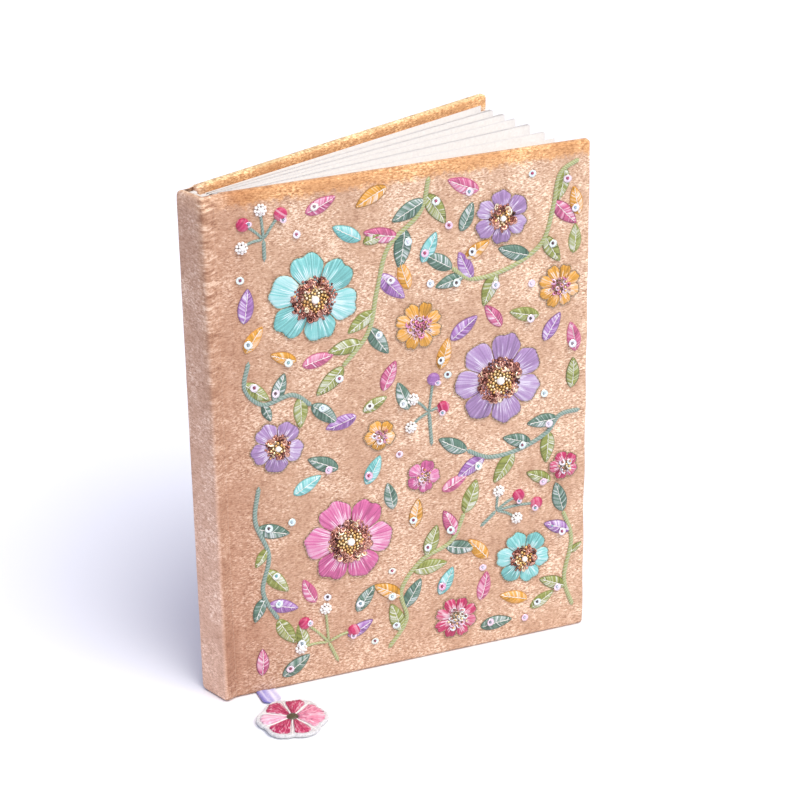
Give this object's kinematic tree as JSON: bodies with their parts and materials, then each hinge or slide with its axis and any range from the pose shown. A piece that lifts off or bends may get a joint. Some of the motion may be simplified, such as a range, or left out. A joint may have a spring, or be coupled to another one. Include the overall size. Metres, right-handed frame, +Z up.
{
  "type": "velvet notebook",
  "caption": "Case-bound notebook in brushed velvet with raised floral embroidery on the front cover, sewn leaves, a satin ribbon marker and a felt flower charm.",
  "frame": {"origin": "on the table under the middle of the spine's tail edge", "axes": "+Z up the height of the book, +X along the back cover from the spine to the fore-edge, the front cover opens towards -Y"},
  "size_m": [0.1633, 0.073, 0.216],
  "materials": {
    "velvet": "crushed rose gold velvet with a short brushed pile",
    "board": "grey binder's board",
    "lining_paper": "brown lining paper",
    "mull": "open weave cotton gauze",
    "paper": "uncoated ivory paper",
    "band_silk": "woven band",
    "ribbon_satin": "lilac satin",
    "felt": "white wool felt",
    "crimson_thread": "crimson satin stitch",
    "pink_thread": "pink satin stitch",
    "pale_pink_thread": "pale pink satin stitch",
    "aqua_thread": "aqua satin stitch with a gold outline",
    "lilac_thread": "lilac satin stitch with a gold outline",
    "gold_thread": "golden satin stitch",
    "olive_thread": "olive green satin and stem stitch",
    "sage_thread": "sage green satin and stem stitch",
    "knot_thread": "dark olive knot"
  },
  "bodies": {
    "spine": {"spine_velvet": "velvet", "spine_board": "board", "back_joint_cloth": "velvet", "spine_lining": "lining_paper", "mull": "mull", "sewn_backs": "paper", "headband": "band_silk", "tailband": "band_silk", "ribbon_head": "ribbon_satin"},
    "front_joint": {"front_joint_cloth": "velvet"},
    "front_cover": {"front_velvet": "velvet", "front_board": "board", "front_infill": "board", "front_pastedown": "paper", "large_aqua_flower": "aqua_thread", "large_lilac_flower": "lilac_thread", "large_pink_flower": "pink_thread", "head_lilac_flower": "lilac_thread", "side_lilac_flower": "lilac_thread", "tail_aqua_flower": "aqua_thread", "middle_gold_flower": "gold_thread", "tail_crimson_flower": "crimson_thread", "edge_gold_flower": "gold_thread", "tiny_gold_flower": "gold_thread", "tiny_crimson_flower": "crimson_thread", "tiny_pink_flower": "pink_thread", "sprig_1": "olive_thread", "sprig_2": "olive_thread", "sprig_3": "sage_thread", "sprig_4": "sage_thread", "sprig_5": "olive_thread", "sprig_6": "olive_thread", "sprig_7": "sage_thread", "berry_sprig_1": "sage_thread", "berry_sprig_2": "sage_thread", "berry_sprig_3": "olive_thread", "berry_sprig_4": "sage_thread", "ribbon": "ribbon_satin"},
    "charm": {"charm_felt": "felt", "charm_petal_1": "pink_thread", "charm_petal_2": "crimson_thread", "charm_petal_3": "crimson_thread", "charm_petal_4": "pale_pink_thread", "charm_petal_5": "crimson_thread", "charm_petal_6": "crimson_thread", "charm_knot": "knot_thread"},
    "back_cover": {"back_velvet": "velvet", "back_board": "board", "back_infill": "board", "back_pastedown": "paper"},
    "front_flyleaf": {"front_flyleaf": "paper"},
    "leaves_1": {"section_1": "paper"},
    "leaves_2": {"section_2": "paper", "section_3": "paper"},
    "leaves_3": {"section_4": "paper"},
    "leaves_4": {"section_5": "paper", "section_6": "paper"},
    "leaves_5": {"section_7": "paper", "section_8": "paper"},
    "back_flyleaf": {"back_flyleaf": "paper"}
  },
  "joints": [
    {"name": "front_joint_fold", "type": "hinge", "parent": "spine", "child": "front_joint", "pos_m": [0.00193, -0.00839, 0], "axis": [0, 0, -1], "range_deg": [0, 60]},
    {"name": "front_cover_hinge", "type": "hinge", "parent": "front_joint", "child": "front_cover", "pos_m": [0.00532, -0.00839, 0], "axis": [0, 0, -1], "range_deg": [-21.3, 68.5]},
    {"name": "back_cover_hinge", "type": "hinge", "parent": "spine", "child": "back_cover", "pos_m": [0.00532, 0.00839, 0], "axis": [0, 0, 1], "range_deg": [0, 140]},
    {"name": "charm_swing", "type": "hinge", "parent": "front_cover", "child": "charm", "pos_m": [0.01145, -0.02203, 0], "axis": [0, 0, 1], "range_deg": [-15, 15]},
    {"name": "front_flyleaf_turn", "type": "hinge", "parent": "spine", "child": "front_flyleaf", "pos_m": [0.00863, -0.00311, 0], "axis": [0, 0, -1], "range_deg": [-17.59, 56.44]},
    {"name": "leaves_1_turn", "type": "hinge", "parent": "spine", "child": "leaves_1", "pos_m": [0.00863, -0.00262, 0], "axis": [0, 0, -1], "range_deg": [-14.51, 46.57]},
    {"name": "leaves_2_turn", "type": "hinge", "parent": "spine", "child": "leaves_2", "pos_m": [0.00863, -0.00143, 0], "axis": [0, 0, -1], "range_deg": [-10.65, 34.14]},
    {"name": "leaves_3_turn", "type": "hinge", "parent": "spine", "child": "leaves_3", "pos_m": [0.00863, -0.00024, 0], "axis": [0, 0, -1], "range_deg": [-7.58, 24.26]},
    {"name": "leaves_4_turn", "type": "hinge", "parent": "spine", "child": "leaves_4", "pos_m": [0.00863, 0.00094, 0], "axis": [0, 0, -1], "range_deg": [-5.2, 16.62]},
    {"name": "leaves_5_turn", "type": "hinge", "parent": "spine", "child": "leaves_5", "pos_m": [0.00863, 0.00252, 0], "axis": [0, 0, -1], "range_deg": [-2.92, 9.29]},
    {"name": "back_flyleaf_turn", "type": "hinge", "parent": "spine", "child": "back_flyleaf", "pos_m": [0.00863, 0.00346, 0], "axis": [0, 0, -1], "range_deg": [-0.64, 1.96]}
  ],
  "couplings": [
    {"joint": "front_flyleaf_turn", "follows": "front_cover_hinge", "ratio": 0.82326},
    {"joint": "leaves_1_turn", "follows": "front_cover_hinge", "ratio": 0.67907},
    {"joint": "leaves_2_turn", "follows": "front_cover_hinge", "ratio": 0.49767},
    {"joint": "leaves_3_turn", "follows": "front_cover_hinge", "ratio": 0.35349},
    {"joint": "leaves_4_turn", "follows": "front_cover_hinge", "ratio": 0.24186},
    {"joint": "leaves_5_turn", "follows": "front_cover_hinge", "ratio": 0.13488},
    {"joint": "back_flyleaf_turn", "follows": "front_cover_hinge", "ratio": 0.02791}
  ]
}
